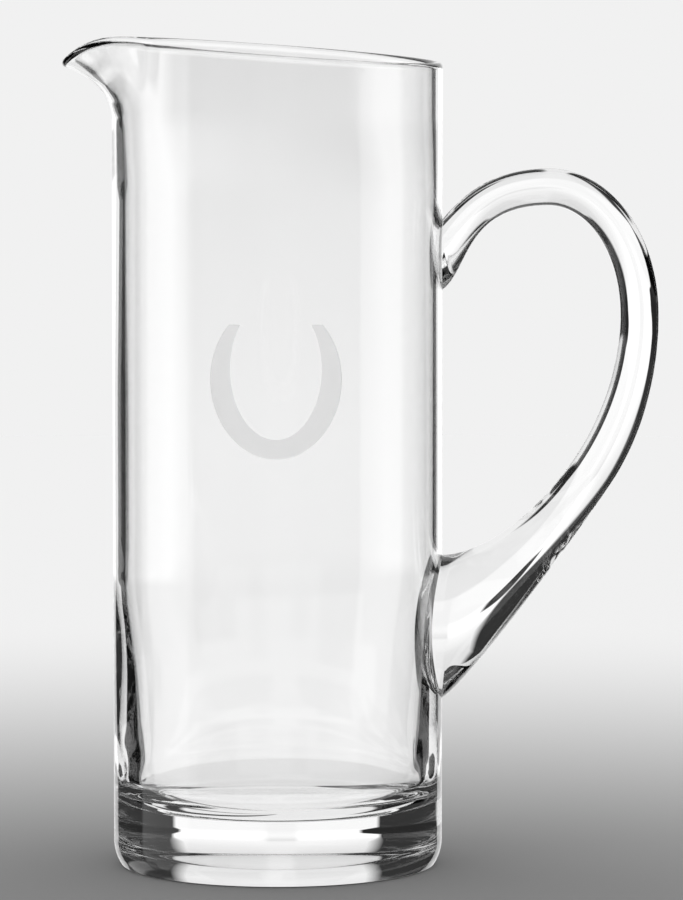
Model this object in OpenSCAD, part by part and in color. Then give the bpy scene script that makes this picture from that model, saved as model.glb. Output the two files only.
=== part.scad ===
// Tall glass cocktail pitcher: a blown cylinder on a heavy solid base, with a slanting
// fire-polished rim, a pulled spout, an applied ear-shaped handle and an etched horseshoe.
// Millimetres, +Z up. The origin is on the body's axis, in the plane that the base stands on.
// The spout points to -X, the handle to +X, and the etched figure faces -Y.

/* [Body] */
// Outside diameter of the straight body
body_d = 100; // [84:1:120]
// Thickness of the straight wall
wall = 3.1; // [2.4:0.1:5]
// Height of the rim on the body's axis
rim_h = 247.5; // [230:0.5:280]
// Slope of the sheared rim, which rises towards the spout, in degrees
rim_slope = 4.3; // [0:0.1:6]

/* [Base] */
// Thickness of the solid glass under the floor
floor_t = 18; // [12:0.5:28]
// Radius of the rounded heel
heel_r = 13.5; // [3:0.5:16]
// How far the edge of the flat ground foot stands inside the body
heel_in = 2.2; // [1:0.1:3]
// Radius of the corner between the floor and the wall, inside
floor_r = 10; // [4:0.5:20]
// Wall thickness added at the floor corner, on top of the straight wall's
corner_extra = 3.9; // [0.5:0.1:8]
// Height above the floor corner that keeps the whole added thickness
thick_h = 4; // [2:1:30]
// Height over which the added thickness dies out above that
taper_h = 60; // [20:1:80]

/* [Spout] */
// Depth of the tooled band under the rim, on the body's axis
lip_drop = 21; // [16:0.5:34]
// Reach of the spout's tip beyond the body
spout_reach = 15; // [4:0.5:20]
// Width of the stretch of rim that is pulled out
spout_w = 60; // [40:1:70]
// Drop of the spout's tip below the slope of the rim
spout_dip = 7; // [0:0.5:9]
// Angle that the spout's wall has turned through at the tip, in degrees
spout_bend = 70; // [30:1:85]

/* [Handle] */
// From the tooled band down to the middle of the upper seal
upper_seal_drop = 40.8; // [28:0.2:50]
// Height of the upper seal along the wall
upper_seal_h = 21.5; // [14:0.5:26]
// Width of the upper seal across the wall
upper_seal_w = 13; // [10:0.5:22]
// Height of the middle of the lower seal above the table
lower_seal_z = 72.3; // [60:0.1:80]
// Height of the lower seal along the wall
lower_seal_h = 43.8; // [26:0.2:48]
// Width of the lower seal across the wall
lower_seal_w = 36; // [16:0.5:42]
// From the wall out to the handle's crown
crown_out = 32; // [24:0.5:40]
// Rise of the crown's middle above the middle of the upper seal
crown_rise = 20.5; // [16:0.1:28]
// Thickness of the rod at the crown
crown_t = 11.2; // [7:0.1:13]
// Width of the rod at the crown
crown_w = 7.8; // [6:0.1:16]
// Reach of the handle beyond the body
handle_reach = 65.6; // [56:0.2:76]
// Drop from the crown's middle to the handle's outermost place
bulge_drop = 39; // [30:0.5:44]
// Thickness of the rod at its outermost place
bulge_t = 11.7; // [7:0.1:14]
// Width of the rod at its outermost place
bulge_w = 8; // [6:0.1:17]
// From the wall out to the elbow, where the rod runs down to the lower seal
elbow_out = 45.2; // [40:0.2:50]
// Rise of the elbow above the middle of the lower seal
elbow_rise = 46.8; // [40:0.1:54]
// Thickness of the rod at the elbow
elbow_t = 13.6; // [9:0.1:16]
// Width of the rod at the elbow
elbow_w = 9.6; // [7:0.1:20]
// Slope of the rod at the elbow, in degrees
elbow_slope = 56; // [46:1:66]

/* [Etched figure] */
// Height of the figure's widest place above the table
figure_z = 151.6; // [130:0.2:170]
// Width of the horseshoe, seen from the front
figure_w = 38.8; // [24:0.2:50]
// Height of the horseshoe
figure_h = 39.8; // [30:0.2:44]
// From the widest place down to the toe
figure_toe = 23.4; // [20:0.2:28]
// Width of the horseshoe's band
band_w = 5.8; // [3:0.1:9]
// How far the band's inner outline is raised, which narrows the two heels
heel_taper = 3.2; // [0:0.1:5]
// Depth of the etched skin
etch_t = 0.3; // [0.2:0.05:0.6]

/* [Hidden] */
$fn = 96;

body_r = body_d / 2;
bore_r = body_r - wall;
corner_r = bore_r - corner_extra;
base_top = floor_t + floor_r;
// Height of the heel's middle, where the heel runs out into the upright wall
heel_z = sqrt(pow(heel_r, 2) - pow(heel_r - heel_in, 2));
lip_z = rim_h - lip_drop;
// Cuts run this far past the faces they open
overcut = 1;

// Sections round the lip, points up each of its walls, and points over its bead
lip_sections = 120;
lip_rises = 10;
bead_points = 7;
spout_half = asin(spout_w / 2 / body_r);

// Handle stations in the XZ plane: upper seal, crown, bulge, elbow and lower seal
upper_z = lip_z - upper_seal_drop;
crown = [body_r + crown_out, upper_z + crown_rise];
bulge = [body_r + handle_reach - bulge_t / 2, crown[1] - bulge_drop];
elbow = [body_r + elbow_out, lower_seal_z + elbow_rise];
elbow_along = [cos(elbow_slope), sin(elbow_slope)];
elbow_across = [sin(elbow_slope), -cos(elbow_slope)];
// Share of a quarter turn's span that its control points stand off, as on a round arc
round_share = 0.56;
// The same share on the long, nearly straight stretch from the bulge to the elbow
arm_share = 0.35;
// The upper seal's lower, inner edge leaves the wall at this angle, by this share of its rise,
// and comes into the crown over this share of the way out
seal_inner_angle = 36;
seal_inner_share = 0.4;
crown_inner_share = 0.8;
// The same for its upper, outer edge, which comes into the crown as on a round arc
seal_outer_angle = 50;
seal_outer_share = 0.55;
// The lower seal's upper, inner edge comes down from the elbow by this share of its fall,
// and runs level into the wall over this length
root_inner_share = 0.7;
root_inner_run = 12;
// The same for its lower, outer edge, which comes into the wall at this angle
root_outer_share = 0.4;
root_outer_run = 8;
root_outer_angle = 30;
// Rings along each of the handle's four stretches, and points round a ring
stretch_rings = 14;
ring_points = 32;
// Share of the first and last stretch that belongs to the seals
seal_share = 0.5;
// The seals are carried this far into the body before the body is cut out of them
seat_margin = 0.5;

// Points along each outline of the horseshoe
figure_points = 28;

// Point of a cubic curve through four control points
function curve_at(p, t) =
    pow(1 - t, 3) * p[0] + 3 * pow(1 - t, 2) * t * p[1]
    + 3 * (1 - t) * pow(t, 2) * p[2] + pow(t, 3) * p[3];

// Outline of one side of the handle as four cubic curves; side is -1 inside and 1 outside
function handle_side(side) =
    let (
        seal = [body_r, upper_z + side * upper_seal_h / 2],
        top = crown + [0, side * crown_t / 2],
        out = bulge + [side * bulge_t / 2, 0],
        bend = elbow + side * elbow_t / 2 * elbow_across,
        root = [body_r, lower_seal_z - side * lower_seal_h / 2],
        leave = side < 0 ? seal_inner_angle : seal_outer_angle,
        leave_share = side < 0 ? seal_inner_share : seal_outer_share,
        crown_share = side < 0 ? crown_inner_share : round_share,
        rise = top[1] - seal[1],
        arm = out[1] - bend[1],
        fall = bend[1] - root[1],
        fall_share = side < 0 ? root_inner_share : root_outer_share,
        run = side < 0
            ? [root_inner_run, 0]
            : root_outer_run * [cos(root_outer_angle), sin(root_outer_angle)]
    )
    [
        [
            seal,
            seal + leave_share * rise * [cos(leave), sin(leave)],
            top - [crown_share * crown_out, 0],
            top
        ],
        [
            top,
            top + [round_share * (out[0] - top[0]), 0],
            out + [0, round_share * (top[1] - out[1])],
            out
        ],
        [out, out - [0, arm_share * arm], bend + arm_share * arm * elbow_along, bend],
        [bend, bend - fall_share * fall * elbow_along, root + run, root]
    ];

inner_side = handle_side(-1);
outer_side = handle_side(1);

// Half the handle's width across the wall, u stretches along from the upper seal
stations_w = [upper_seal_w, crown_w, bulge_w, elbow_w, lower_seal_w] / 2;
function half_width(u) =
    let (
        i = min(floor(u), 3),
        t = u - i,
        share = i == 0 ? 1 - pow(1 - t, 2) : t * t * (3 - 2 * t)
    )
    stations_w[i] + (stations_w[i + 1] - stations_w[i]) * share;

// Ring of the handle, u stretches along from the upper seal, moved by shift along X
function handle_ring(u, shift = 0) =
    let (
        i = min(floor(u), 3),
        inside = curve_at(inner_side[i], u - i),
        outside = curve_at(outer_side[i], u - i),
        middle = (inside + outside) / 2,
        reach = (outside - inside) / 2,
        w = half_width(u)
    )
    [
        for (k = [0 : ring_points - 1])
            let (a = 360 * k / ring_points, p = middle + reach * cos(a))
            [p[0] + shift, w * sin(a), p[1]]
    ];

// Rings from one place along the handle to another
function handle_rings(from, to) =
    let (steps = round((to - from) * stretch_rings))
    [for (i = [0 : steps]) handle_ring(from + (to - from) * i / steps)];

// How far a seal of width w is carried into the round body
function seat_depth(w) = body_r - sqrt(pow(body_r, 2) - pow(w / 2, 2)) + seat_margin;

// Share of the full pull that a lip section has, at angle a from the spout
function pull_at(a) = abs(a) < spout_half ? pow(cos(90 * a / spout_half), 2) : 0;

// Closed section of the lip at angle a from the spout, as radius and height:
// up the outside, over the round bead and down the inside
function lip_section(a) =
    let (
        pull = pull_at(a),
        mid_r = body_r - wall / 2,
        reach = spout_reach * pull,
        slope_rise = (mid_r + reach) * cos(a) * tan(rim_slope),
        rim_z = rim_h + slope_rise - spout_dip * pow(pull, 3) - wall / 2,
        rise = rim_z - lip_z,
        steps = [for (i = [0 : lip_rises]) i / lip_rises],
        line = [
            for (v = steps)
                [
                    mid_r + reach * (1 - cos(spout_bend * v)) / (1 - cos(spout_bend)),
                    lip_z + rise * ((1 - pull) * v + pull * sin(spout_bend * v) / sin(spout_bend))
                ]
        ],
        along = [
            for (v = steps)
                let (
                    r_step = reach * sin(spout_bend * v) * spout_bend * PI / 180 / (1 - cos(spout_bend)),
                    turn = cos(spout_bend * v) * spout_bend * PI / 180 / sin(spout_bend),
                    d = [r_step, rise * (1 - pull + pull * turn)]
                )
                d / norm(d)
        ],
        across = [for (d = along) [d[1], -d[0]]],
        tip = line[lip_rises],
        tip_along = along[lip_rises],
        tip_across = across[lip_rises]
    )
    [
        for (i = [0 : lip_rises]) line[i] + across[i] * wall / 2,
        for (k = [1 : bead_points])
            let (b = 180 * k / (bead_points + 1))
            tip + wall / 2 * (cos(b) * tip_across + sin(b) * tip_along),
        for (i = [lip_rises : -1 : 0]) line[i] - across[i] * wall / 2
    ];

// Solid between closed rings of the same count; a looped one joins its last ring to its first
module skin(rings, looped = false) {
    count = len(rings);
    n = len(rings[0]);
    spans = looped ? count : count - 1;
    sides = [
        for (i = [0 : spans - 1], k = [0 : n - 1])
            let (a = i * n, b = ((i + 1) % count) * n, m = (k + 1) % n)
            each [[a + k, a + m, b + m], [a + k, b + m, b + k]]
    ];
    ends = looped ? [] : [
        [for (k = [n - 1 : -1 : 0]) k],
        [for (k = [0 : n - 1]) (count - 1) * n + k]
    ];
    polyhedron(points = [for (ring = rings) each ring], faces = concat(sides, ends));
}

// Ellipse arc, n points from one angle to the other
function ellipse_arc(a, c, from, to, n, lift = 0) =
    [for (i = [0 : n]) let (t = from + (to - from) * i / n) [a * cos(t), lift + c * sin(t)]];

// Plain horseshoe with its open end up, on its widest place
module horseshoe_outline() {
    top = figure_h - figure_toe;
    inner_c = figure_toe - band_w + heel_taper;
    outer_end = asin(top / figure_toe);
    inner_end = asin((top - heel_taper) / inner_c);
    polygon(concat(
        ellipse_arc(figure_w / 2, figure_toe, outer_end, -180 - outer_end, figure_points),
        ellipse_arc(figure_w / 2 - band_w, inner_c, -180 - inner_end, inner_end, figure_points, heel_taper)
    ));
}

// The horseshoe on the front of the body, from the etched depth out to radius r
module horseshoe_patch(r) {
    intersection() {
        translate([0, 0, figure_z]) rotate([90, 0, 0])
            linear_extrude(r + overcut) horseshoe_outline();
        difference() {
            cylinder(r = r, h = rim_h);
            translate([0, 0, -overcut])
                cylinder(r = body_r - etch_t, h = rim_h + 2 * overcut);
        }
    }
}

// Straight blown wall, thicker towards the base, with the etched figure's shallow recess
module body_wall() {
    color("aliceblue") difference() {
        rotate_extrude() polygon([
            [corner_r, base_top], [body_r, base_top], [body_r, lip_z], [bore_r, lip_z],
            [bore_r, base_top + thick_h + taper_h], [corner_r, base_top + thick_h]
        ]);
        horseshoe_patch(body_r + overcut);
    }
}

// Solid base with its rounded heel outside, ground flat underneath, and the round floor corner inside
module heavy_base() {
    color("lightcyan") rotate_extrude() difference() {
        intersection() {
            square([body_r, base_top]);
            union() {
                square([body_r - heel_r, base_top]);
                translate([0, heel_z]) square([body_r, base_top - heel_z]);
                translate([body_r - heel_r, heel_z]) circle(heel_r);
            }
        }
        translate([0, floor_t]) square([corner_r - floor_r, floor_r + overcut]);
        intersection() {
            translate([corner_r - floor_r, base_top]) circle(floor_r);
            translate([0, floor_t]) square([corner_r, floor_r + overcut]);
        }
    }
}

// Tooled band with the slanting rim, its round bead and the pulled spout
module pouring_lip() {
    sections = [
        for (i = [0 : lip_sections - 1])
            let (a = 360 * i / lip_sections, off = a > 180 ? a - 360 : a)
            [for (p = lip_section(off)) [-p[0] * cos(a), -p[0] * sin(a), p[1]]]
    ];
    color("azure") skin(sections, looped = true);
}

// A handle seal: rings carried into the body, then cut to the body's own round face
module seated(rings) {
    difference() {
        skin(rings);
        cylinder(r = body_r, h = rim_h);
    }
}

// Upper end of the rod, pressed on the wall under the rim
module handle_upper_seal() {
    color("lightblue") seated(concat(
        [handle_ring(0, -seat_depth(upper_seal_w))], handle_rings(0, seal_share)
    ));
}

// Drawn and looped rod that the hand holds
module handle_bow() {
    color("lightsteelblue") skin(handle_rings(seal_share, 4 - seal_share));
}

// Wide root of the handle, stuck to the wall first
module handle_lower_seal() {
    color("lightblue") seated(concat(
        handle_rings(4 - seal_share, 4), [handle_ring(4, -seat_depth(lower_seal_w))]
    ));
}

// Frosted skin of the etched figure
module etched_horseshoe() {
    color("white") horseshoe_patch(body_r);
}

body_wall();
heavy_base();
pouring_lip();
handle_upper_seal();
handle_bow();
handle_lower_seal();
etched_horseshoe();
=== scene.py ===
"""Looks of the tall glass cocktail pitcher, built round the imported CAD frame.

Sizes of the pieces are millimetres, as on the drawing, and become metres in the meshes.
The spout points to -X, the handle to +X, and the etched horseshoe faces -Y.
"""

import logging
import math
from collections.abc import Iterator
from contextlib import contextmanager
from dataclasses import dataclass
from enum import Enum
from typing import Any, NamedTuple

import bmesh
import bpy
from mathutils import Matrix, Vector


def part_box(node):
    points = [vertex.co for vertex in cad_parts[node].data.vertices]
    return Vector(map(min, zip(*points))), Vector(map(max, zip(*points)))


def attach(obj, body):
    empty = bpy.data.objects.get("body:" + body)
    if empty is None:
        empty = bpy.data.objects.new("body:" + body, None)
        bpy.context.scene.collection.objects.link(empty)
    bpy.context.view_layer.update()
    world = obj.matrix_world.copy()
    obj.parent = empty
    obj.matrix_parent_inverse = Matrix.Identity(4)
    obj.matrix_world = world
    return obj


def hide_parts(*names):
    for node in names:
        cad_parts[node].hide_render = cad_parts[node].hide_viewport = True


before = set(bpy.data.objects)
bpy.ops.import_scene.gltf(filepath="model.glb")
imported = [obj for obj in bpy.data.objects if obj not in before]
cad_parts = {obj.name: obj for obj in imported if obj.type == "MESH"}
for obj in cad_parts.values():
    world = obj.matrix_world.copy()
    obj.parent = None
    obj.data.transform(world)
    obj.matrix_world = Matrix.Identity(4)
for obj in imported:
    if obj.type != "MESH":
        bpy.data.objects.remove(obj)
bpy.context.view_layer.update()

MM = 0.001
BODY = "root"
# Columns round everything that is turned on the body's axis, so that faces of two pieces lie on each other
COLUMNS = 256
# Points closer than this, in metres, are one point
WELD = 0.000002
# Points closer than this to a face of the drawing, in metres, lie on it
ON_FACE = 10 * WELD
# Two fused faces stay this far apart, in millimetres, so that light goes through one after the other
SEAM_GAP = 0.01
# Faces that meet at a greater angle than this, in degrees, keep a crease
CREASE = 40
# Degrees in a full turn
FULL_TURN = 360
# Place on a colour ramp of the direction straight behind the object, or of the level
RAMP_MIDDLE = 0.5

Socket = bpy.types.NodeSocket
Stop = tuple[float, float]

log = logging.getLogger("pitcher")


class Slot(Enum):
    """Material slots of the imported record."""

    CLEAR = "clear_glass"
    ETCHED = "etched_glass"


class Cut(Enum):
    """Ways in which one solid is worked with another."""

    JOIN = "UNION"
    TAKE_AWAY = "DIFFERENCE"
    KEEP_SHARED = "INTERSECT"


class Point(NamedTuple):
    """Place in the plane of a turned profile or of the handle: distance from the axis and height."""

    r: float
    z: float

    def __add__(self, other: tuple[float, float]) -> "Point":
        """Sum of two places."""
        return Point(self.r + other[0], self.z + other[1])

    def __sub__(self, other: tuple[float, float]) -> "Point":
        """Step from the other place to this one."""
        return Point(self.r - other[0], self.z - other[1])

    def __mul__(self, share: float) -> "Point":
        """Place or step times a number."""
        return Point(self.r * share, self.z * share)

    def size(self) -> float:
        """Length of a step."""
        return math.hypot(self.r, self.z)


def linear(hex_colour: str) -> tuple[float, float, float, float]:
    """Turns an sRGB hex colour into the linear colour that a shader takes.

    Args:
        hex_colour: Colour such as "#F2F2F2".

    Returns:
        Linear red, green, blue and an alpha of 1.
    """
    parts = [int(hex_colour[i:i + 2], 16) / 255 for i in (1, 3, 5)]
    red, green, blue = [p / 12.92 if p <= 0.04045 else ((p + 0.055) / 1.055) ** 2.4 for p in parts]
    return red, green, blue, 1.0


def add_node(tree: bpy.types.NodeTree, kind: str, inputs: dict[Any, Any] | None = None,
             **settings: Any) -> bpy.types.Node:
    """Adds a node with its settings and links.

    Args:
        tree: Node tree that gets the node.
        kind: Type name of the node.
        inputs: Value or linked output for each input, by its name or number.
        **settings: Properties of the node itself.

    Returns:
        The new node.
    """
    node = tree.nodes.new(kind)
    for name, value in settings.items():
        setattr(node, name, value)
    for key, value in (inputs or {}).items():
        if isinstance(value, Socket):
            tree.links.new(value, node.inputs[key])
        else:
            node.inputs[key].default_value = value
    return node


def new_material(name: str) -> bpy.types.Material:
    """Makes an empty node material of that name."""
    material = bpy.data.materials.new(name)
    material.use_nodes = True
    material.node_tree.nodes.clear()
    return material


def pick(obj: bpy.types.Object, *others: bpy.types.Object) -> None:
    """Selects only these objects.

    Args:
        obj: Object that becomes the active one.
        *others: Objects that are selected with it.
    """
    bpy.ops.object.select_all(action="DESELECT")
    for each in (obj, *others):
        each.select_set(True)
    bpy.context.view_layer.objects.active = obj


@contextmanager
def editing(obj: bpy.types.Object) -> Iterator[bmesh.types.BMesh]:
    """Edit mode on one object, with all of its mesh selected at the start.

    Args:
        obj: Mesh object to edit.

    Yields:
        Its mesh.
    """
    pick(obj)
    bpy.ops.object.mode_set(mode="EDIT")
    bpy.ops.mesh.select_all(action="SELECT")
    yield bmesh.from_edit_mesh(obj.data)
    bmesh.update_edit_mesh(obj.data)
    bpy.ops.object.mode_set(mode="OBJECT")


def named_active(name: str) -> bpy.types.Object:
    """Names the primitive that was just added, and returns it."""
    obj = bpy.context.active_object
    obj.name = name
    obj.data.name = name
    return obj


def copy_of(obj: bpy.types.Object, name: str) -> bpy.types.Object:
    """Copies an object with a mesh of its own.

    Args:
        obj: Object to copy.
        name: Name of the copy.

    Returns:
        The copy, in the scene.
    """
    twin = obj.copy()
    twin.data = obj.data.copy()
    twin.name = name
    bpy.context.scene.collection.objects.link(twin)
    return twin


def apply_modifier(obj: bpy.types.Object, kind: str, **settings: Any) -> None:
    """Adds a modifier with its settings and applies it.

    Args:
        obj: Object that is changed.
        kind: Type name of the modifier.
        **settings: Properties of the modifier.
    """
    pick(obj)
    modifier = obj.modifiers.new(kind.lower(), kind)
    for name, value in settings.items():
        setattr(modifier, name, value)
    bpy.ops.object.modifier_apply(modifier=modifier.name)


def work(obj: bpy.types.Object, tool: bpy.types.Object, cut: Cut, keep_tool: bool = False) -> None:
    """Joins, cuts or trims a closed mesh with another one.

    Args:
        obj: Mesh that is changed. Its new faces take the tool's materials.
        tool: Mesh that it is worked with.
        cut: What is done.
        keep_tool: Whether the tool stays in the scene.
    """
    apply_modifier(obj, "BOOLEAN", object=tool, operation=cut.value, solver="EXACT",
                   material_mode="TRANSFER")
    if not keep_tool:
        bpy.data.objects.remove(tool)


def towards(angle: float) -> Point:
    """Step of length 1 at an angle in degrees, from the outward direction towards the top."""
    turn = math.radians(angle)
    return Point(math.cos(turn), math.sin(turn))


def arc(centre: Point, radius: float, start: float, end: float, steps: int) -> list[Point]:
    """Points along a circular arc.

    Args:
        centre: Centre of the arc.
        radius: Its radius.
        start: First angle in degrees.
        end: Last angle.
        steps: Number of chords.

    Returns:
        The points, first and last included.
    """
    angles = [start + (end - start) * i / steps for i in range(steps + 1)]
    return [centre + towards(angle) * radius for angle in angles]


def run(start: Point, end: Point, longest: float) -> list[Point]:
    """Points along a straight line, without its start.

    Args:
        start: First place.
        end: Last place.
        longest: Longest step between two points.

    Returns:
        Evenly spaced points up to the end.
    """
    steps = max(1, math.ceil((end - start).size() / longest))
    return [start + (end - start) * (i / steps) for i in range(1, steps + 1)]


def eased(share: float) -> float:
    """Smooth step from 0 at a share of 0 to 1 at a share of 1."""
    share = min(max(share, 0.0), 1.0)
    return share * share * (3 - 2 * share)


def turn_on_axis(name: str, profile: list[Point]) -> bpy.types.Object:
    """Turns a profile that starts and ends on the axis into a closed solid.

    Args:
        name: Name of the new object.
        profile: Points of the profile in millimetres.

    Returns:
        The turned object.
    """
    bpy.ops.mesh.primitive_plane_add(size=MM)
    solid = named_active(name)
    with editing(solid):
        bpy.ops.mesh.merge(type="CENTER")
        bpy.ops.transform.translate(value=(profile[0].r * MM, 0, profile[0].z * MM))
        for before, after in zip(profile, profile[1:]):
            step = (after - before) * MM
            bpy.ops.mesh.extrude_vertices_move(TRANSFORM_OT_translate={"value": (step.r, 0, step.z)})
    apply_modifier(solid, "SCREW", axis="Z", angle=math.tau, steps=COLUMNS, render_steps=COLUMNS,
                   use_merge_vertices=True, merge_threshold=WELD)
    with editing(solid):
        bpy.ops.mesh.remove_doubles(threshold=WELD)
        bpy.ops.mesh.normals_make_consistent(inside=False)
    return solid


@dataclass(frozen=True)
class FirePolishedGlass:
    """Clear lead-free crystal, blown and fire-polished.

    The flame leaves a skin without any grain, so the eye sees only what it bends and mirrors.
    Blowing leaves long soft waves in it, and washing a film that dulls it here and there.
    """

    name: str = "fire_polished_glass"
    tint: str = "#FDFDFD"
    ior: float = 1.52
    # The film shows where its noise is above film_from, and in full from film_full on
    film_roughness: float = 0.012
    film_from: float = 0.45
    film_full: float = 0.75
    # Millimetres: distance between the waves, their depth, and the width of a patch of film
    wave: float = 24.0
    wave_depth: float = 0.015
    film_patch: float = 35.0
    # How much longer the waves are up the wall than round it
    wave_stretch: float = 3.0

    def make(self) -> bpy.types.Material:
        """Builds the material."""
        material = new_material(self.name)
        tree = material.node_tree
        place = add_node(tree, "ShaderNodeTexCoord")
        long = add_node(tree, "ShaderNodeMapping", {
            "Vector": place.outputs["Object"], "Scale": (1, 1, 1 / self.wave_stretch)})
        waves = add_node(tree, "ShaderNodeTexNoise", {
            "Vector": long.outputs[0], "Scale": 1 / (self.wave * MM), "Detail": 1.0})
        skin = add_node(tree, "ShaderNodeBump", {
            "Height": waves.outputs[0], "Distance": self.wave_depth * MM, "Strength": 1.0})
        film = add_node(tree, "ShaderNodeTexNoise", {
            "Vector": place.outputs["Object"], "Scale": 1 / (self.film_patch * MM), "Detail": 4.0})
        dull = add_node(tree, "ShaderNodeMapRange", {
            "Value": film.outputs[0], "From Min": self.film_from, "From Max": self.film_full,
            "To Max": self.film_roughness})
        glass = add_node(tree, "ShaderNodeBsdfPrincipled", {
            "Base Color": linear(self.tint), "IOR": self.ior, "Roughness": dull.outputs[0],
            "Normal": skin.outputs[0], "Transmission Weight": 1.0,
        })
        add_node(tree, "ShaderNodeOutputMaterial", {"Surface": glass.outputs[0]})
        return material


@dataclass(frozen=True)
class FusedSeam:
    """Face inside the glass where two hot gathers were stuck together.

    Glass meets the same glass there, so light goes straight on and nothing shows.
    """

    name: str = "fused_seam"

    def make(self) -> bpy.types.Material:
        """Builds the material."""
        material = new_material(self.name)
        tree = material.node_tree
        seam = add_node(tree, "ShaderNodeBsdfPrincipled", {
            "Base Color": (1, 1, 1, 1), "IOR": 1.0, "Roughness": 0.0, "Transmission Weight": 1.0,
        })
        add_node(tree, "ShaderNodeOutputMaterial", {"Surface": seam.outputs[0]})
        return material


@dataclass(frozen=True)
class EtchedGlass:
    """Glass skin etched matt, pale by itself, which blurs what is seen through it into a soft grey.

    The acid leaves a fine pitted grain, and bites a little deeper in some places than in others.
    """

    name: str = "acid_etched_glass"
    tint: str = "#FEFEFE"
    ior: float = 1.52
    # Share of the light that goes on through the pits; they throw the rest back all round
    through: float = 0.55
    # Roughness where the acid bites least and most, and the noise that stands for these places
    light_roughness: float = 0.55
    deep_roughness: float = 0.65
    light_noise: float = 0.3
    deep_noise: float = 0.7
    # Millimetres: the real pits are a tenth of this, too fine to show, and the deeper bites are patches
    grain: float = 0.6
    grain_depth: float = 0.012
    patch: float = 4.0

    def make(self) -> bpy.types.Material:
        """Builds the material."""
        material = new_material(self.name)
        tree = material.node_tree
        place = add_node(tree, "ShaderNodeTexCoord")
        level = add_node(tree, "ShaderNodeVectorMath", {
            0: place.outputs["Object"], 1: (1, 1, 0)}, operation="MULTIPLY")
        outward = add_node(tree, "ShaderNodeVectorMath", {0: level.outputs[0]}, operation="NORMALIZE")
        pits = add_node(tree, "ShaderNodeTexNoise", {
            "Vector": place.outputs["Object"], "Scale": 1 / (self.grain * MM), "Detail": 2.0})
        skin = add_node(tree, "ShaderNodeBump", {
            "Height": pits.outputs[0], "Distance": self.grain_depth * MM, "Strength": 1.0,
            "Normal": outward.outputs[0]})
        bites = add_node(tree, "ShaderNodeTexNoise", {
            "Vector": place.outputs["Object"], "Scale": 1 / (self.patch * MM), "Detail": 3.0})
        matt = add_node(tree, "ShaderNodeMapRange", {
            "Value": bites.outputs[0], "From Min": self.light_noise, "From Max": self.deep_noise,
            "To Min": self.light_roughness, "To Max": self.deep_roughness})
        frost = add_node(tree, "ShaderNodeBsdfPrincipled", {
            "Base Color": linear(self.tint), "IOR": self.ior, "Roughness": matt.outputs[0],
            "Normal": skin.outputs[0], "Transmission Weight": self.through,
        })
        add_node(tree, "ShaderNodeOutputMaterial", {"Surface": frost.outputs[0]})
        return material


@dataclass(frozen=True)
class Finishes:
    """The materials of the pitcher, made once and shared by its pieces."""

    clear: bpy.types.Material
    seam: bpy.types.Material
    etched: bpy.types.Material


class Ripple(NamedTuple):
    """Shallow waves round the inside of the wall: number, slant, start and share of the depth."""

    count: int
    pitch: float
    start: float
    share: float

    def at(self, turn: float, z: float) -> float:
        """Height of the wave at an angle in radians and a height in millimetres."""
        return self.share * math.sin(self.count * turn + z / self.pitch + self.start)


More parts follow.
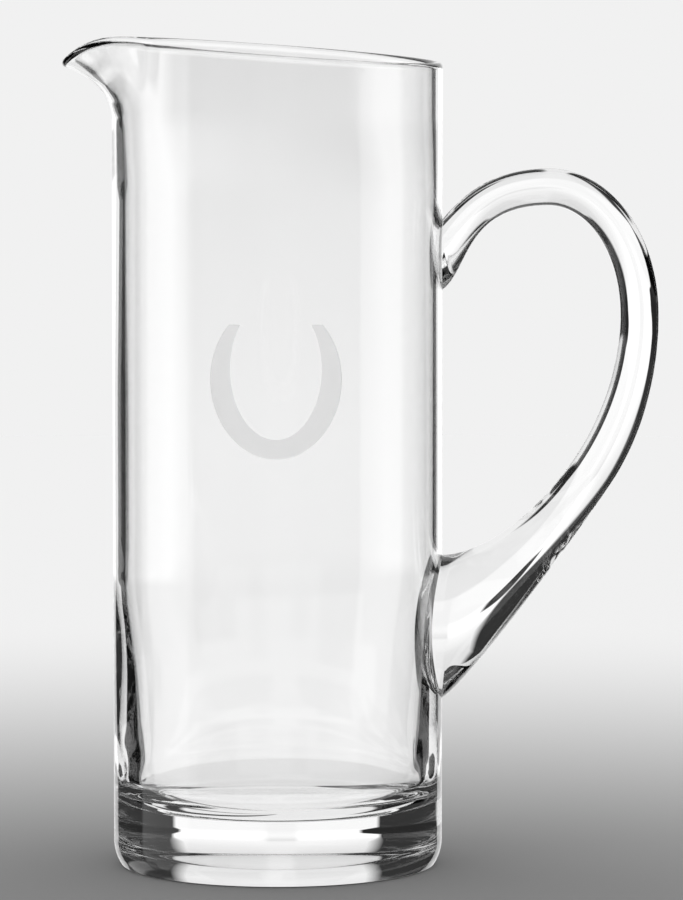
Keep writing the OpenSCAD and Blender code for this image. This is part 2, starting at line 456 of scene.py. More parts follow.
@dataclass
class Vessel:
    """Blown body, heavy base and pouring lip: one skin of clear glass. Millimetres and degrees."""

    radius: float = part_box("body_wall")[1].x / MM
    base_top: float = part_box("body_wall")[0].z / MM
    lip_z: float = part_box("body_wall")[1].z / MM
    wall: float = 3.1
    floor_t: float = 18.0
    heel_r: float = 13.5
    heel_in: float = 2.2
    foot_edge: float = 0.15
    floor_r: float = 10.0
    corner_extra: float = 3.9
    thick_h: float = 4.0
    taper_h: float = 60.0
    rim_h: float = 247.5
    rim_slope: float = 4.3
    spout_reach: float = 15.0
    spout_w: float = 60.0
    spout_dip: float = 7.0
    spout_bend: float = 70.0
    # The lip is turned straight, this high to the middle of its bead, before it is sheared and pulled
    blank_lip: float = 20.0
    # The greater this power of the pull, the nearer the dip keeps to the spout's middle
    dip_power: int = 3
    # Longest steps along the profile: foot, wall and floor, thickened wall, lip
    foot_row: float = 16.0
    row: float = 4.0
    low_row: float = 1.6
    lip_row: float = 0.8
    # Blown by hand, the bore is off the axis towards the handle, the wall gathers glass on the spout's
    # side from gather_z up, thins out on the handle's side above the figure, and is restless low down
    # at these two sides
    bore_offset: float = 0.2
    spout_gather: float = 0.35
    gather_z: float = 75.0
    gather_h: float = 25.0
    top_thinning: float = 0.25
    figure_top: float = 175.0
    # The greater this power, the nearer the restless places keep to the two sides
    restless_power: int = 8
    wobble: float = 0.05
    wobbles: tuple[Ripple, ...] = (Ripple(2, 7.0, 0.0, 1.0), Ripple(5, -4.5, 1.0, 0.7))
    crinkle: float = 0.07
    crinkles: tuple[Ripple, ...] = (Ripple(19, 3.0, 0.0, 1.0), Ripple(31, -4.0, 2.0, 0.8))
    arc_steps: int = 16

    @property
    def bore(self) -> float:
        """Radius inside the straight wall."""
        return self.radius - self.wall

    @property
    def middle(self) -> float:
        """Radius of the straight wall's middle."""
        return self.radius - self.wall / 2

    def outside(self) -> list[Point]:
        """Profile from the middle of the foot round the heel and up to the lip.

        Returns:
            Points in millimetres.
        """
        heel_z = math.sqrt(self.heel_r ** 2 - (self.heel_r - self.heel_in) ** 2)
        heel = Point(self.radius - self.heel_r, heel_z)
        inward = math.sqrt((self.heel_r - self.foot_edge) ** 2 - (heel_z - self.foot_edge) ** 2)
        edge = Point(heel.r + inward, self.foot_edge)
        meet = math.degrees(math.atan2(edge.z - heel.z, edge.r - heel.r))
        points = [Point(0, 0)]
        points += run(Point(0, 0), Point(edge.r, 0), self.foot_row)
        points += arc(edge, self.foot_edge, -90, meet, self.arc_steps // 2)[1:]
        points += arc(heel, self.heel_r, meet, 0, self.arc_steps)[1:]
        points += run(points[-1], Point(self.radius, self.lip_z), self.row)
        return points

    def lip(self) -> list[Point]:
        """Straight blank of the lip: up its outside, over the bead and down its inside.

        Returns:
            Points in millimetres.
        """
        bead = Point(self.middle, self.lip_z + self.blank_lip)
        points = run(Point(self.radius, self.lip_z), Point(self.radius, bead.z), self.lip_row)
        points += arc(bead, self.wall / 2, 0, 180, self.arc_steps)[1:]
        points += run(points[-1], Point(self.bore, self.lip_z), self.lip_row)
        return points

    def inside(self) -> list[Point]:
        """Profile from the lip down the thickening wall and round the corner to the floor's middle.

        Returns:
            Points in millimetres.
        """
        corner = Point(self.bore - self.corner_extra, self.base_top)
        taper_z = self.base_top + self.thick_h + self.taper_h
        turn = Point(corner.r - self.floor_r, self.base_top)
        points = run(Point(self.bore, self.lip_z), Point(self.bore, taper_z), self.row)
        for level in run(Point(0, taper_z), corner, self.low_row):
            share = eased((taper_z - level.z) / self.taper_h)
            points.append(Point(self.bore - self.corner_extra * share, level.z))
        points += arc(turn, self.floor_r, 0, -90, self.arc_steps)[1:]
        points += run(points[-1], Point(0, self.floor_t), self.row)
        return points

    def thinning(self, turn: float, z: float) -> float:
        """How far the blown inside strays outwards from its drawn place, as hand work does.

        Args:
            turn: Angle round the body from the handle, in radians.
            z: Height.

        Returns:
            Distance in millimetres, negative where the wall is thicker than drawn.
        """
        handle_side = (1 + math.cos(turn)) / 2
        spout_side = (1 - math.cos(turn)) / 2
        above_figure = eased((z - self.figure_top) / (self.lip_z - self.figure_top))
        offset = self.bore_offset * math.cos(turn)
        offset -= self.spout_gather * spout_side * eased((z - self.gather_z) / self.gather_h)
        offset += self.top_thinning * handle_side * above_figure
        sides = math.cos(turn) ** self.restless_power
        low = eased((self.base_top + self.thick_h + self.taper_h - z) / self.taper_h)
        wobble = sum(ripple.at(turn, z) for ripple in self.wobbles)
        crinkle = sum(ripple.at(turn, z) for ripple in self.crinkles)
        corner = math.exp(-((z - self.base_top) / self.floor_r) ** 2)
        return offset + sides * (low * self.wobble * wobble + corner * self.crinkle * crinkle)

    def blow_inside(self, vessel: bpy.types.Object) -> None:
        """Moves the inside of the wall to where blowing by hand leaves it.

        Args:
            vessel: Turned vessel.
        """
        with editing(vessel) as mesh:
            for vert in mesh.verts:
                distance = math.hypot(vert.co.x, vert.co.y)
                z = vert.co.z / MM
                inside = self.floor_t < z <= self.lip_z and distance < self.middle * MM
                if not inside or distance < (self.bore - self.corner_extra - self.floor_r) * MM:
                    continue
                stray = self.thinning(math.atan2(vert.co.y, vert.co.x), z) * MM
                stray *= min((z - self.floor_t) / self.floor_r, 1.0)
                stray *= min((self.lip_z - z) / self.blank_lip, 1.0)
                vert.co.x += stray * vert.co.x / distance
                vert.co.y += stray * vert.co.y / distance

    def pull_at(self, angle: float) -> float:
        """Share of the spout's pull that the rim has.

        Args:
            angle: Angle from the spout's middle, in degrees.

        Returns:
            1 at the spout's middle, 0 from its ends on.
        """
        half = math.degrees(math.asin(self.spout_w / 2 / self.radius))
        if abs(angle) >= half:
            return 0.0
        return math.cos(math.radians(90 * angle / half)) ** 2

    def pulled(self, angle: float, across: float, z: float) -> Point:
        """Where a point of the lip's blank goes when the rim is sheared and the spout is pulled.

        Args:
            angle: Angle from the spout's middle, in degrees.
            across: Distance outwards from the wall's middle.
            z: Height in the blank.

        Returns:
            Place in the section at that angle.
        """
        pull = self.pull_at(angle)
        reach = self.spout_reach * pull
        towards_spout = (self.middle + reach) * math.cos(math.radians(angle))
        slope_rise = towards_spout * math.tan(math.radians(self.rim_slope))
        rim = self.rim_h + slope_rise - self.spout_dip * pull ** self.dip_power - self.wall / 2
        rise = rim - self.lip_z
        share = min((z - self.lip_z) / self.blank_lip, 1.0)
        over = max(z - self.lip_z - self.blank_lip, 0.0)
        bend = math.radians(self.spout_bend)
        turned = bend * share
        line = Point(
            self.middle + reach * (1 - math.cos(turned)) / (1 - math.cos(bend)),
            self.lip_z + rise * ((1 - pull) * share + pull * math.sin(turned) / math.sin(bend)),
        )
        along = Point(
            reach * math.sin(turned) * bend / (1 - math.cos(bend)),
            rise * (1 - pull + pull * math.cos(turned) * bend / math.sin(bend)),
        )
        along = along * (1 / along.size())
        return line + Point(along.z, -along.r) * across + along * over

    def shape_lip(self, blank: bpy.types.Object) -> None:
        """Shears the rim and pulls the spout out of the turned blank.

        Args:
            blank: Turned vessel, with its lip still straight.
        """
        with editing(blank) as mesh:
            for vert in mesh.verts:
                if vert.co.z <= self.lip_z * MM:
                    continue
                turn = math.atan2(vert.co.y, -vert.co.x)
                across = math.hypot(vert.co.x, vert.co.y) / MM - self.middle
                place = self.pulled(math.degrees(turn), across, vert.co.z / MM) * MM
                vert.co = (-place.r * math.cos(turn), place.r * math.sin(turn), place.z)

    def former(self) -> bpy.types.Object:
        """Turns the solid outside of the body, up to the lip, to cut the handle's seats with."""
        return turn_on_axis("former", [*self.outside(), Point(0, self.lip_z)])

    def build(self, finishes: Finishes) -> bpy.types.Object:
        """Turns the vessel and shapes its lip.

        Args:
            finishes: Materials of the pitcher.

        Returns:
            The vessel, without the marks of handle and figure.
        """
        vessel = turn_on_axis("vessel", self.outside() + self.lip() + self.inside())
        self.blow_inside(vessel)
        self.shape_lip(vessel)
        vessel.data.materials.append(finishes.clear)
        return vessel


class Station(NamedTuple):
    """One ring of the handle's rod: its middle, half its thickness as a step, and half its width."""

    middle: Point
    reach: Point
    half_width: float

    def turn(self) -> float:
        """Angle of the ring's thickness in the handle's plane, in radians."""
        return math.atan2(self.reach.z, self.reach.r)


Curve = tuple[Point, Point, Point, Point]


def curve_at(curve: Curve, share: float) -> Point:
    """Place along a cubic curve.

    Args:
        curve: Its four control points.
        share: From 0 at its start to 1 at its end.

    Returns:
        The place.
    """
    rest = 1 - share
    weights = (rest ** 3, 3 * rest ** 2 * share, 3 * rest * share ** 2, share ** 3)
    total = Point(0, 0)
    for point, weight in zip(curve, weights):
        total = total + point * weight
    return total


class Side(NamedTuple):
    """How one side of the handle leaves its seals and the crown: angles in degrees, shares and a run."""

    sign: int
    seal_angle: float
    seal_share: float
    crown_share: float
    root_share: float
    root_run: float
    root_angle: float


@dataclass
class Handle:
    """Rod of glass that is stuck on low, looped over and pressed on under the rim. Millimetres."""

    wall_r: float
    lip_z: float
    upper_seal_drop: float = 40.8
    upper_seal_h: float = 21.5
    upper_seal_w: float = 13.0
    lower_seal_z: float = 72.3
    lower_seal_h: float = 43.8
    lower_seal_w: float = 36.0
    crown_out: float = 32.0
    crown_rise: float = 20.5
    crown_t: float = 11.2
    crown_w: float = 7.8
    handle_reach: float = 65.6
    bulge_drop: float = 39.0
    bulge_t: float = 11.7
    bulge_w: float = 8.0
    elbow_out: float = 45.2
    elbow_rise: float = 46.8
    elbow_t: float = 13.6
    elbow_w: float = 9.6
    elbow_slope: float = 56.0
    round_share: float = 0.56
    arm_share: float = 0.35
    # The side that the fingers touch, and the outer one
    inner: Side = Side(-1, seal_angle=36.0, seal_share=0.4, crown_share=0.8,
                       root_share=0.7, root_run=12.0, root_angle=0.0)
    outer: Side = Side(1, seal_angle=50.0, seal_share=0.55, crown_share=0.56,
                       root_share=0.4, root_run=8.0, root_angle=30.0)
    # The rod's ends are carried this far into the body before they are cut to the wall
    sink: float = 1.2
    # Stretches from one drawn place to the next, and rings in each
    stretches: int = 4
    rings: int = 28
    ring_points: int = 48

    def outline(self, side: Side) -> list[Curve]:
        """Outline of one side of the handle, from the upper seal to the lower one.

        Args:
            side: That side.

        Returns:
            Four cubic curves.
        """
        upper_z = self.lip_z - self.upper_seal_drop
        crown = Point(self.wall_r + self.crown_out, upper_z + self.crown_rise)
        bulge = Point(self.wall_r + self.handle_reach - self.bulge_t / 2, crown.z - self.bulge_drop)
        elbow = Point(self.wall_r + self.elbow_out, self.lower_seal_z + self.elbow_rise)
        along = towards(self.elbow_slope)
        seal = Point(self.wall_r, upper_z + side.sign * self.upper_seal_h / 2)
        top = crown + (0, side.sign * self.crown_t / 2)
        out = bulge + (side.sign * self.bulge_t / 2, 0)
        bend = elbow + Point(along.z, -along.r) * (side.sign * self.elbow_t / 2)
        root = Point(self.wall_r, self.lower_seal_z - side.sign * self.lower_seal_h / 2)
        rise = towards(side.seal_angle) * (side.seal_share * (top.z - seal.z))
        over, down = self.round_share * (out.r - top.r), self.round_share * (top.z - out.z)
        arm = self.arm_share * (out.z - bend.z)
        fall = along * (side.root_share * (bend.z - root.z))
        return [
            (seal, seal + rise, top - (side.crown_share * self.crown_out, 0), top),
            (top, top + (over, 0), out + (0, down), out),
            (out, out - (0, arm), bend + along * arm, bend),
            (bend, bend - fall, root + towards(side.root_angle) * side.root_run, root),
        ]

    def half_width(self, place: float) -> float:
        """Half the rod's width across the wall.

        Args:
            place: Stretches along the handle from the upper seal.

        Returns:
            Half width in millimetres.
        """
        widths = (self.upper_seal_w, self.crown_w, self.bulge_w, self.elbow_w, self.lower_seal_w)
        index = min(int(place), self.stretches - 1)
        share = place - index
        taken = 1 - (1 - share) ** 2 if index == 0 else eased(share)
        return (widths[index] + (widths[index + 1] - widths[index]) * taken) / 2

    def stations(self) -> list[Station]:
        """Rings from the upper seal to the lower one.

        Returns:
            The rings in order.
        """
        inner, outer = self.outline(self.inner), self.outline(self.outer)
        rings = []
        for i in range(self.stretches * self.rings + 1):
            place = i / self.rings
            index = min(int(place), self.stretches - 1)
            low, high = curve_at(inner[index], place - index), curve_at(outer[index], place - index)
            rings.append(Station((low + high) * 0.5, (high - low) * 0.5, self.half_width(place)))
        return rings

    def draw_rod(self) -> bpy.types.Object:
        """Draws the rod ring by ring along the handle.

        Returns:
            Closed rod with its two flat ends at the wall.
        """
        rings = self.stations()
        bpy.ops.mesh.primitive_circle_add(vertices=self.ring_points, radius=MM, fill_type="NGON")
        rod = named_active("handle")
        start = Station(Point(0, 0), Point(1, 0), 1)
        with editing(rod) as mesh:
            for before, after in zip([start, *rings], rings):
                step = (after.middle - before.middle) * MM
                at = (after.middle.r * MM, 0, after.middle.z * MM)
                move = {"value": (step.r, 0, step.z)}
                if before is start:
                    bpy.ops.transform.translate(**move)
                else:
                    bpy.ops.mesh.extrude_region_move(TRANSFORM_OT_translate=move)
                thicker = after.reach.size() / before.reach.size()
                wider = after.half_width / before.half_width
                angle = math.remainder(after.turn() - before.turn(), math.tau)
                bpy.ops.transform.rotate(
                    value=angle, orient_axis="Y", orient_type="GLOBAL", center_override=at)
                bpy.ops.transform.resize(value=(thicker, wider, thicker), center_override=at)
            bpy.ops.mesh.select_all(action="SELECT")
            bpy.ops.mesh.normals_make_consistent(inside=False)
            for edge in mesh.edges:
                edge.select_set(all(abs(v.co.x - self.wall_r * MM) < WELD for v in edge.verts))
            bmesh.update_edit_mesh(rod.data)
            bpy.ops.transform.edge_crease(value=1)
        apply_modifier(rod, "SUBSURF", levels=1, render_levels=1)
        return rod

    def sink_ends(self, rod: bpy.types.Object) -> None:
        """Carries the rod's two flat ends into the wall, along the wall's own round.

        Args:
            rod: Rod with its ends at the wall.
        """
        with editing(rod) as mesh:
            for face in mesh.faces:
                face.select_set(all(abs(v.co.x - self.wall_r * MM) < ON_FACE for v in face.verts))
            bmesh.update_edit_mesh(rod.data)
            bpy.ops.mesh.extrude_region_move(TRANSFORM_OT_translate={"value": (-self.sink * MM, 0, 0)})
            for vert in mesh.verts:
                if vert.select:
                    vert.co.x = math.sqrt(((self.wall_r - self.sink) * MM) ** 2 - vert.co.y ** 2)

    def build(self, vessel: bpy.types.Object, former: bpy.types.Object,
              finishes: Finishes) -> bpy.types.Object:
        """Draws the handle, cuts its two seats to the wall and marks the same seats on the vessel.

        Args:
            vessel: Vessel that the handle is stuck to.
            former: Solid outside of the body.
            finishes: Materials of the pitcher.

        Returns:
            The handle.
        """
        handle = self.draw_rod()
        self.sink_ends(handle)
        handle.data.materials.append(finishes.clear)
        # The rod cuts its seats out of the vessel's skin and goes again, told from it by its finish
        rod = copy_of(handle, "rod")
        rod.data.materials[0] = finishes.seam
        former.data.materials.append(finishes.seam)
        work(handle, former, Cut.TAKE_AWAY)
        work(vessel, rod, Cut.JOIN)
        keep_material(vessel, finishes.clear)
        seats = copy_of(handle, "seats")
        keep_material(seats, finishes.seam)
        with editing(seats):
            bpy.ops.mesh.flip_normals()
        join(vessel, seats)
        self.lift_seats(handle, finishes)
        return handle

    def lift_seats(self, handle: bpy.types.Object, finishes: Finishes) -> None:
        """Lifts the handle's seats a hair off the wall.

        Args:
            handle: Handle with its seats cut.
            finishes: Materials of the pitcher.
        """
        seam = list(handle.data.materials).index(finishes.seam)
        with editing(handle) as mesh:
            seats = [face for face in mesh.faces if face.material_index == seam]
            for vert in {vert for face in seats for vert in face.verts}:
                out = 1 + SEAM_GAP * MM / math.hypot(vert.co.x, vert.co.y)
                vert.co.x *= out
                vert.co.y *= out


def keep_material(obj: bpy.types.Object, material: bpy.types.Material) -> None:
    """Deletes all faces of a mesh but those of one material.

    Args:
        obj: Mesh that is thinned out.
        material: Material of the faces that stay.
    """
    kept = [i for i, m in enumerate(obj.data.materials) if m == material]
    with editing(obj) as mesh:
        for face in mesh.faces:
            face.select_set(face.material_index not in kept)
        bmesh.update_edit_mesh(obj.data)
        bpy.ops.mesh.delete(type="FACE")


def join(obj: bpy.types.Object, other: bpy.types.Object) -> None:
    """Joins another mesh to an object and welds the points that lie on each other.

    Args:
        obj: Object that stays.
        other: Object that becomes part of it.
    """
    pick(obj, other)
    bpy.ops.object.join()
    with editing(obj):
        bpy.ops.mesh.remove_doubles(threshold=WELD)


@dataclass
class Horseshoe:
    """Plain horseshoe, open end up, etched into the front of the body. Millimetres."""

    wall_r: float
    z: float = 151.6
    width: float = 38.8
    height: float = 39.8
    toe: float = 23.4
    band: float = 5.8
    heel_taper: float = 3.2
    depth: float = 0.3
    # Tools run this far past the faces they open
    overcut: float = 1.0
    outline_points: int = 128

    def bar(self, name: str, half_w: float, half_h: float, lift: float) -> bpy.types.Object:
        """Oval bar that runs from the body's axis out through its front.

        Args:
            name: Name of the new object.
            half_w: Half the oval's width.
            half_h: Half its height.
            lift: Height of its middle above the figure's widest place.

        Returns:
            The bar.
        """
        length = self.wall_r + 2 * self.overcut
        bpy.ops.mesh.primitive_cylinder_add(
            vertices=self.outline_points, radius=MM, depth=length * MM, rotation=(math.pi / 2, 0, 0),
            location=(0, -length / 2 * MM, (self.z + lift) * MM))
        bar = named_active(name)
        bpy.ops.object.transform_apply(location=True, rotation=True, scale=True)
        with editing(bar):
            centre = (0, 0, (self.z + lift) * MM)
            bpy.ops.transform.resize(value=(half_w, 1, half_h), center_override=centre)
        return bar

    def drum(self, radius: float, material: bpy.types.Material) -> bpy.types.Object:
        """Round drum behind the whole figure.

        Args:
            radius: Its radius.
            material: Finish that its round face gives to what it cuts.

        Returns:
            The drum.
        """
        low, high = self.z - 2 * self.toe, self.z + 2 * self.toe
        drum = turn_on_axis("drum", [Point(0, low), Point(radius, low), Point(radius, high), Point(0, high)])
        drum.data.materials.append(material)
        return drum

    def build(self, vessel: bpy.types.Object, finishes: Finishes) -> bpy.types.Object:
        """Makes the etched skin and the shallow recess that it fills.

        Args:
            vessel: Vessel that gets the recess.
            finishes: Materials of the pitcher.

        Returns:
            The etched figure.
        """
        figure = self.bar("frosted_horseshoe", self.width / 2, self.toe, 0)
        figure.data.materials.append(finishes.seam)
        with editing(figure):
            bpy.ops.mesh.bisect(
                plane_co=(0, 0, (self.z + self.height - self.toe) * MM), plane_no=(0, 0, 1),
                use_fill=True, clear_outer=True)
        hole = self.bar("hole", self.width / 2 - self.band, self.toe - self.band + self.heel_taper,
                        self.heel_taper)
        hole.data.materials.append(finishes.seam)
        work(figure, hole, Cut.TAKE_AWAY)
        work(figure, self.drum(self.wall_r - self.depth, finishes.seam), Cut.TAKE_AWAY)
        work(vessel, figure, Cut.TAKE_AWAY, keep_tool=True)
        work(figure, self.drum(self.wall_r - self.depth + SEAM_GAP, finishes.seam), Cut.TAKE_AWAY)
        work(figure, self.drum(self.wall_r, finishes.etched), Cut.KEEP_SHARED)
        return figure


@dataclass(frozen=True)
class Room:
    """What the glass sees round it: a pale backdrop between dark cards, a lit room and a pale table.

    Angles go from straight behind the object towards the handle, and elevations up from the level.
    Both are degrees in fields and stops. In an output an angle is a share of a full turn.
    """

    tree: bpy.types.NodeTree
    # Outputs with the angle of a direction, and with its upward part
    turn: Socket
    z: Socket
    # Half the width of the backdrop below the eye, with the cards that hang in front of it to the spout's
    # and the handle's side, then above the eye, where its edge is soft, and high up
    backdrop_edge: float = 27.5
    spout_card: float = 21.0
    handle_card: float = 25.0
    soft_edge: float = 24.0
    high_edge: float = 42.0
    edge_blur: float = 1.5
    soft_blur: float = 6.0
    # Brightness of the ceiling, the cards and their paler parts, the soft box, the room in front, the
    # table, and the grey and the dark stripes of these two
    ceiling_level: float = 0.15
    card_level: float = 0.02
    pale_card_level: float = 0.035
    box_level: float = 0.8
    front_level: float = 0.75
    table_level: float = 0.9
    grey_level: float = 0.3
    dark_level: float = 0.05

    def bands(self, value: Socket, stops: list[Stop]) -> Socket:
        """Level that runs from stop to stop.

        Args:
            value: Where the light comes from, -0.5 to 0.5.
            stops: Place in the same measure, and level, of each stop from the lowest place on.

        Returns:
            Output with the level.
        """
        share = add_node(self.tree, "ShaderNodeMath", {0: value, 1: RAMP_MIDDLE})
        ramp = add_node(self.tree, "ShaderNodeValToRGB", {"Fac": share.outputs[0]})
        elements = ramp.color_ramp.elements
        while len(elements) < len(stops):
            elements.new(1)
        for element, (place, level) in zip(elements, stops):
            element.position = place + RAMP_MIDDLE
            element.color = (level, level, level, 1)
        return ramp.outputs["Color"]

    def angles(self, *stops: Stop) -> Socket:
        """Level by the angle, with the same level on beyond the first and the last stop."""
        return self.bands(self.turn, [(angle / FULL_TURN, level) for angle, level in stops])

    def heights(self, *stops: Stop) -> Socket:
        """Level by the elevation, with the same level on beyond the first and the last stop."""
        half = add_node(self.tree, "ShaderNodeMath", {0: self.z, 1: 0.5}, operation="MULTIPLY")
        return self.bands(half.outputs[0], [(math.sin(math.radians(e)) / 2, level) for e, level in stops])

    def past(self, value: Socket, edge: Socket, blur: Socket | float) -> Socket:
        """Share that goes from 0 before an edge to 1 past it.

        Args:
            value: Angle that is compared.
            edge: Angle where the share leaves 0.
            blur: How much further it reaches 1.

        Returns:
            Output with the share.
        """
        full = add_node(self.tree, "ShaderNodeMath", {0: edge, 1: blur})
        return add_node(self.tree, "ShaderNodeMapRange", {
            "Value": value, "From Min": edge, "From Max": full.outputs[0]}).outputs[0]

    def hang(self, behind: Socket, front: Socket | float, *shares: Socket) -> Socket:
        """Hangs something in front of what lies behind it.

        Args:
            behind: Brightness of what lies behind.
            front: Brightness of what hangs in front of it.
            *shares: How much of it is covered, one share for each limit. They are multiplied.

        Returns:
            Output with the brightness of both.
        """
        covered = shares[0]
        for share in shares[1:]:
            covered = add_node(self.tree, "ShaderNodeMath", {
                0: covered, 1: share}, operation="MULTIPLY").outputs[0]
        return add_node(self.tree, "ShaderNodeMix", {
            "Factor": covered, "A": behind, "B": front}, data_type="FLOAT").outputs[0]

    def backdrop(self) -> Socket:
        """Brightness of the backdrop, a little greyer in its middle near the height of the eye.

        Returns:
            Output with the brightness.
        """
        middle = self.heights(
            (-8.5, 1), (-5.5, 1.06), (-4, 1.02), (-1.8, 0.88), (-1.2, 0.88), (-0.5, 1), (7, 0.92),
            (26, 0.88), (50, 0.88), (56, self.ceiling_level))
        flanks = self.heights(
            (-90, 1), (-8.5, 1.05), (-7, 1.18), (-2, 1.14), (0, 1.04), (4, 0.94), (10, 0.85),
            (26, 0.8), (50, 0.8), (56, self.ceiling_level))
        return self.hang(middle, flanks, self.angles((-5.6, 1), (-4.6, 0), (2, 0), (3, 1)))

    def beside(self) -> Socket:
        """Brightness of the dark cards on both hands, the soft box past one of them and the room in front.

        Returns:
            Output with the brightness.
        """
        box, lit, grey = self.box_level, self.front_level, self.grey_level
        box_round = self.angles((-117, 0), (-114, box), (-72, box), (-69, 0))
        box_up = self.heights((-24, 0), (-23, 1), (0.5, 1), (1.5, 0))
        front_round = self.angles(
            (-150, lit), (-146, 0), (113, 0), (117, lit), (156, lit), (159, grey), (169, grey), (172, lit))
        front_up = self.heights((-11, 1), (-9.5, 0))
        card, pale = self.card_level, self.pale_card_level
        cards = self.heights((-10, 0), (-9.2, pale), (-8.2, pale), (-7.5, card), (-1.5, card), (0, pale))
        soft_box = add_node(self.tree, "ShaderNodeMath", {0: box_round, 1: box_up}, operation="MULTIPLY")
        lights = add_node(self.tree, "ShaderNodeMath", {
            0: front_round, 1: front_up, 2: soft_box.outputs[0]}, operation="MULTIPLY_ADD")
        return add_node(self.tree, "ShaderNodeMath", {
            0: lights.outputs[0], 1: cards}, operation="MAXIMUM").outputs[0]

    def below(self) -> Socket:
        """Brightness of the striped table, with the dark cards that draw the walls from other sides.

        Returns:
            Output with the brightness.
        """
        lit, grey, dark = self.table_level, self.grey_level, self.dark_level
        level = self.angles((-81, lit), (-78, grey), (-69, grey), (-66, lit),
                            (-33, lit), (-30, dark), (-19, dark), (-16, lit))
        edge = self.heights((-90, 15 / FULL_TURN), (-38, 17 / FULL_TURN), (-30, 26 / FULL_TURN))
        handle_side = (
            self.angles((98, 1), (101, 0)),
            self.heights((-46, 0), (-42, 1)),
            self.past(self.turn, edge, 3 / FULL_TURN),
        )
        spout_side = (
            self.angles((-112, 0), (-109, 1), (-27, 1), (-23, 0)),
            self.heights((-46, 0), (-42, 1), (-34, 1), (-31, 0)),
        )
        front = (
            self.angles((-168, 0), (-165, 1), (-118, 1), (-115, 0), (113, 0), (116, 1), (174, 1), (177, 0)),
            self.heights((-60, 0), (-57, 1), (-34, 1), (-31, 0)),
        )
        for shares in (handle_side, spout_side, front):
            level = self.hang(level, self.card_level, *shares)
        return level

    def level(self) -> Socket:
        """Brightness of all that the glass sees.

        Returns:
            Output with the brightness.
        """
        near, soft, high, spout, handle, sharp, faded = [angle / FULL_TURN for angle in (
            self.backdrop_edge, self.soft_edge, self.high_edge, self.spout_card, self.handle_card,
            self.edge_blur, self.soft_blur)]
        upper = ((-1, near), (2, soft), (20, soft), (38, high))
        spout_edge = self.heights((-8.6, near), (-7.4, spout), (-5, spout), (-3.2, near), *upper)
        handle_edge = self.heights((-8.6, near), (-7.4, handle), (-5.5, handle), (-3.5, near), *upper)
        blur = self.heights((-1, sharp), (2, faded), (20, faded), (38, sharp))
        back = add_node(self.tree, "ShaderNodeMath", {0: self.turn, 1: -1}, operation="MULTIPLY")
        aside = add_node(self.tree, "ShaderNodeMath", {
            0: self.past(back.outputs[0], spout_edge, blur),
            1: self.past(self.turn, handle_edge, blur)}, operation="MAXIMUM")
        upright = self.hang(self.backdrop(), self.beside(), aside.outputs[0])
        return self.hang(upright, self.below(), self.heights((-22, 1), (-20.8, 0)))


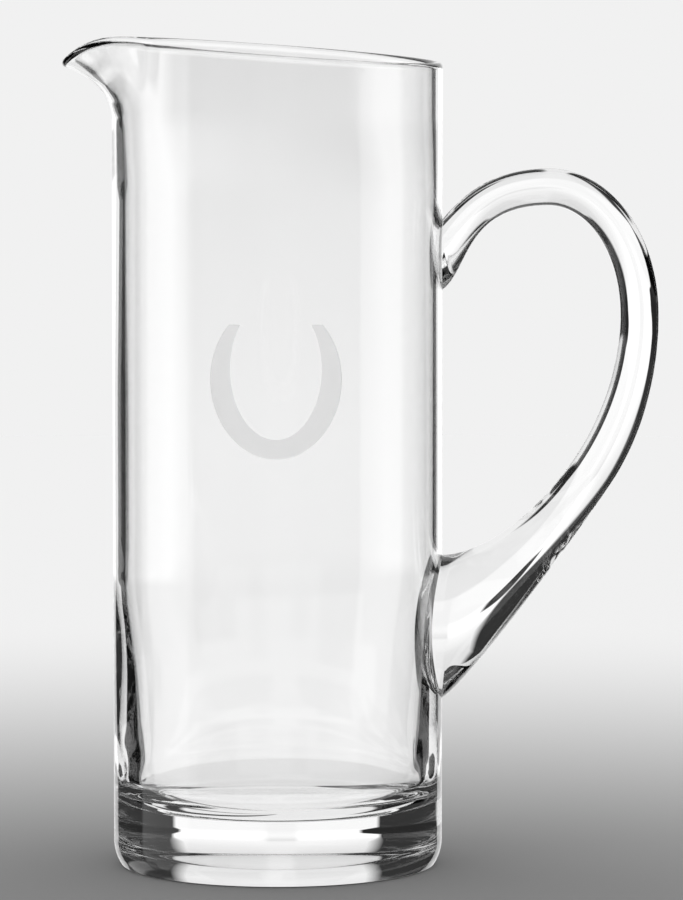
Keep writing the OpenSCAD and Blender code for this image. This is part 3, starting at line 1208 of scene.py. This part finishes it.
@dataclass
class Studio:
    """Pale floor, soft light and the camera at the photograph's place. Metres and degrees."""

    camera_place: tuple[float, float, float] = (0.0194, -1.908, 0.3098)
    camera_pitch: float = 5.496
    lens: float = 252.5
    floor_r: float = 1.4
    floor_points: int = 128
    # The floor lies a hair below the foot, as glass on a table touches only in a few places
    floor_gap: float = 0.0003
    # The floor's colour is painted darker round a place this far in front of the object, as painted shade,
    # and fades to pale from near_r to far_r
    painted_shade_front: float = 0.25
    near_r: float = 0.17
    far_r: float = 0.85
    painted_shade: str = "#8C8C8C"
    pale: str = "#F1F1F1"
    bounces: int = 48

    def place_camera(self) -> None:
        """Adds the camera that looks along +Y, a little down."""
        bpy.ops.object.camera_add(
            location=self.camera_place, rotation=(math.radians(90 - self.camera_pitch), 0, 0))
        camera = bpy.context.active_object
        camera.data.lens = self.lens
        bpy.context.scene.camera = camera

    def lay_floor(self) -> None:
        """Lays the floor, its colour painted darker near the object as painted shade, and pale further off.
        """
        bpy.ops.mesh.primitive_circle_add(
            vertices=self.floor_points, radius=self.floor_r, fill_type="NGON",
            location=(0, 0, -self.floor_gap))
        floor = named_active("floor")
        material = new_material("studio_floor")
        tree = material.node_tree
        place = add_node(tree, "ShaderNodeTexCoord")
        shift = add_node(tree, "ShaderNodeVectorMath", {
            0: place.outputs["Object"], 1: (0, self.painted_shade_front, 0)}, operation="ADD")
        far = add_node(tree, "ShaderNodeVectorMath", {0: shift.outputs[0]}, operation="LENGTH")
        # Painted shade: the floor's own colour darkens towards a place in front of the object, instead of
        # less light falling there
        ramp = add_node(tree, "ShaderNodeMapRange", {
            "Value": far.outputs["Value"], "From Min": self.near_r, "From Max": self.far_r,
            "To Min": linear(self.painted_shade)[0], "To Max": linear(self.pale)[0],
        }, interpolation_type="SMOOTHSTEP")
        cloth = add_node(tree, "ShaderNodeBsdfDiffuse", {"Color": ramp.outputs["Result"]})
        add_node(tree, "ShaderNodeOutputMaterial", {"Surface": cloth.outputs[0]})
        floor.data.materials.append(material)
        floor.visible_glossy = False
        floor.visible_transmission = False

    def light(self) -> None:
        """Lights the object from all round, and lets its glass see the room instead of that light."""
        world = bpy.data.worlds.new("studio")
        bpy.context.scene.world = world
        world.use_nodes = True
        tree = world.node_tree
        tree.nodes.clear()
        ray = add_node(tree, "ShaderNodeLightPath")
        glass_ray = add_node(tree, "ShaderNodeMath", {
            0: ray.outputs["Is Glossy Ray"], 1: ray.outputs["Is Transmission Ray"]}, operation="MAXIMUM")
        way = add_node(tree, "ShaderNodeTexCoord")
        parts = add_node(tree, "ShaderNodeSeparateXYZ", {0: way.outputs["Generated"]})
        angle = add_node(tree, "ShaderNodeMath", {
            0: parts.outputs["X"], 1: parts.outputs["Y"]}, operation="ARCTAN2")
        turn = add_node(tree, "ShaderNodeMath", {0: angle.outputs[0], 1: math.tau}, operation="DIVIDE")
        room = Room(tree, turn.outputs[0], parts.outputs["Z"])
        plain = add_node(tree, "ShaderNodeBackground", {"Color": (1, 1, 1, 1)})
        seen = add_node(tree, "ShaderNodeBackground", {"Color": linear(self.pale)})
        mirrored = add_node(tree, "ShaderNodeBackground", {"Color": room.level()})
        inner = add_node(tree, "ShaderNodeMixShader", {
            0: glass_ray.outputs[0], 1: plain.outputs[0], 2: mirrored.outputs[0]})
        outer = add_node(tree, "ShaderNodeMixShader", {
            0: ray.outputs["Is Camera Ray"], 1: inner.outputs[0], 2: seen.outputs[0]})
        add_node(tree, "ShaderNodeOutputWorld", {"Surface": outer.outputs[0]})

    def follow_light(self) -> None:
        """Lets light go on through as many faces of glass as the thick base and the handle turn it round."""
        cycles = bpy.context.scene.cycles
        cycles.max_bounces = self.bounces
        cycles.transmission_bounces = self.bounces
        cycles.glossy_bounces = self.bounces

    def build(self) -> None:
        """Sets up camera, floor and light, and plain colours in the picture."""
        self.place_camera()
        self.lay_floor()
        self.light()
        self.follow_light()
        bpy.context.scene.view_settings.view_transform = "Standard"


def hand_over(piece: bpy.types.Object, slot: Slot, *nodes: str) -> None:
    """Ties a finished piece to the frame.

    Args:
        piece: Finished piece.
        slot: Material slot of the record; not used.
        *nodes: CAD nodes that the piece stands for.
    """
    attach(piece, BODY)
    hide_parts(*nodes)
    log.info("%s: %d faces, replaces %s", piece.name, len(piece.data.polygons), ", ".join(nodes))


def shade_round(piece: bpy.types.Object, material: bpy.types.Material) -> None:
    """Shades the faces of one material as the round body, and leaves the other faces flat.

    Args:
        piece: Piece whose faces of that material lie on the body.
        material: Material of those faces.
    """
    mesh = piece.data
    normals = []
    for face in mesh.polygons:
        on_body = mesh.materials[face.material_index] == material
        for corner in face.loop_indices:
            place = mesh.vertices[mesh.loops[corner].vertex_index].co
            normals.append(Vector((place.x, place.y, 0)).normalized() if on_body else face.normal.copy())
    pick(piece)
    bpy.ops.object.shade_smooth()
    mesh.normals_split_custom_set(normals)


def smooth(piece: bpy.types.Object, source: bpy.types.Object | None = None) -> None:
    """Shades a piece smooth, with creases at its sharp edges.

    Args:
        piece: Piece to shade.
        source: Clean mesh of the same surface whose normals the piece takes over, if any.
    """
    pick(piece)
    bpy.ops.object.shade_smooth_by_angle(angle=math.radians(CREASE))
    if source:
        apply_modifier(piece, "DATA_TRANSFER", object=source, use_loop_data=True,
                       data_types_loops={"CUSTOM_NORMAL"}, loop_mapping="POLYINTERP_NEAREST")


def main() -> None:
    """Builds the pitcher and the studio round it."""
    logging.basicConfig(level=logging.INFO, format="%(name)s %(message)s")
    finishes = Finishes(FirePolishedGlass().make(), FusedSeam().make(), EtchedGlass().make())
    shape = Vessel()
    vessel = shape.build(finishes)
    clean = copy_of(vessel, "clean_vessel")
    smooth(clean)
    handle = Handle(shape.radius, shape.lip_z).build(vessel, shape.former(), finishes)
    figure = Horseshoe(shape.radius).build(vessel, finishes)
    smooth(vessel, clean)
    smooth(handle)
    shade_round(figure, finishes.etched)
    bpy.data.objects.remove(clean)
    hand_over(vessel, Slot.CLEAR, "body_wall", "heavy_base", "pouring_lip")
    hand_over(handle, Slot.CLEAR, "handle_upper_seal", "handle_bow", "handle_lower_seal")
    hand_over(figure, Slot.ETCHED, "etched_horseshoe")
    Studio().build()


if __name__ == "__main__":
    main()
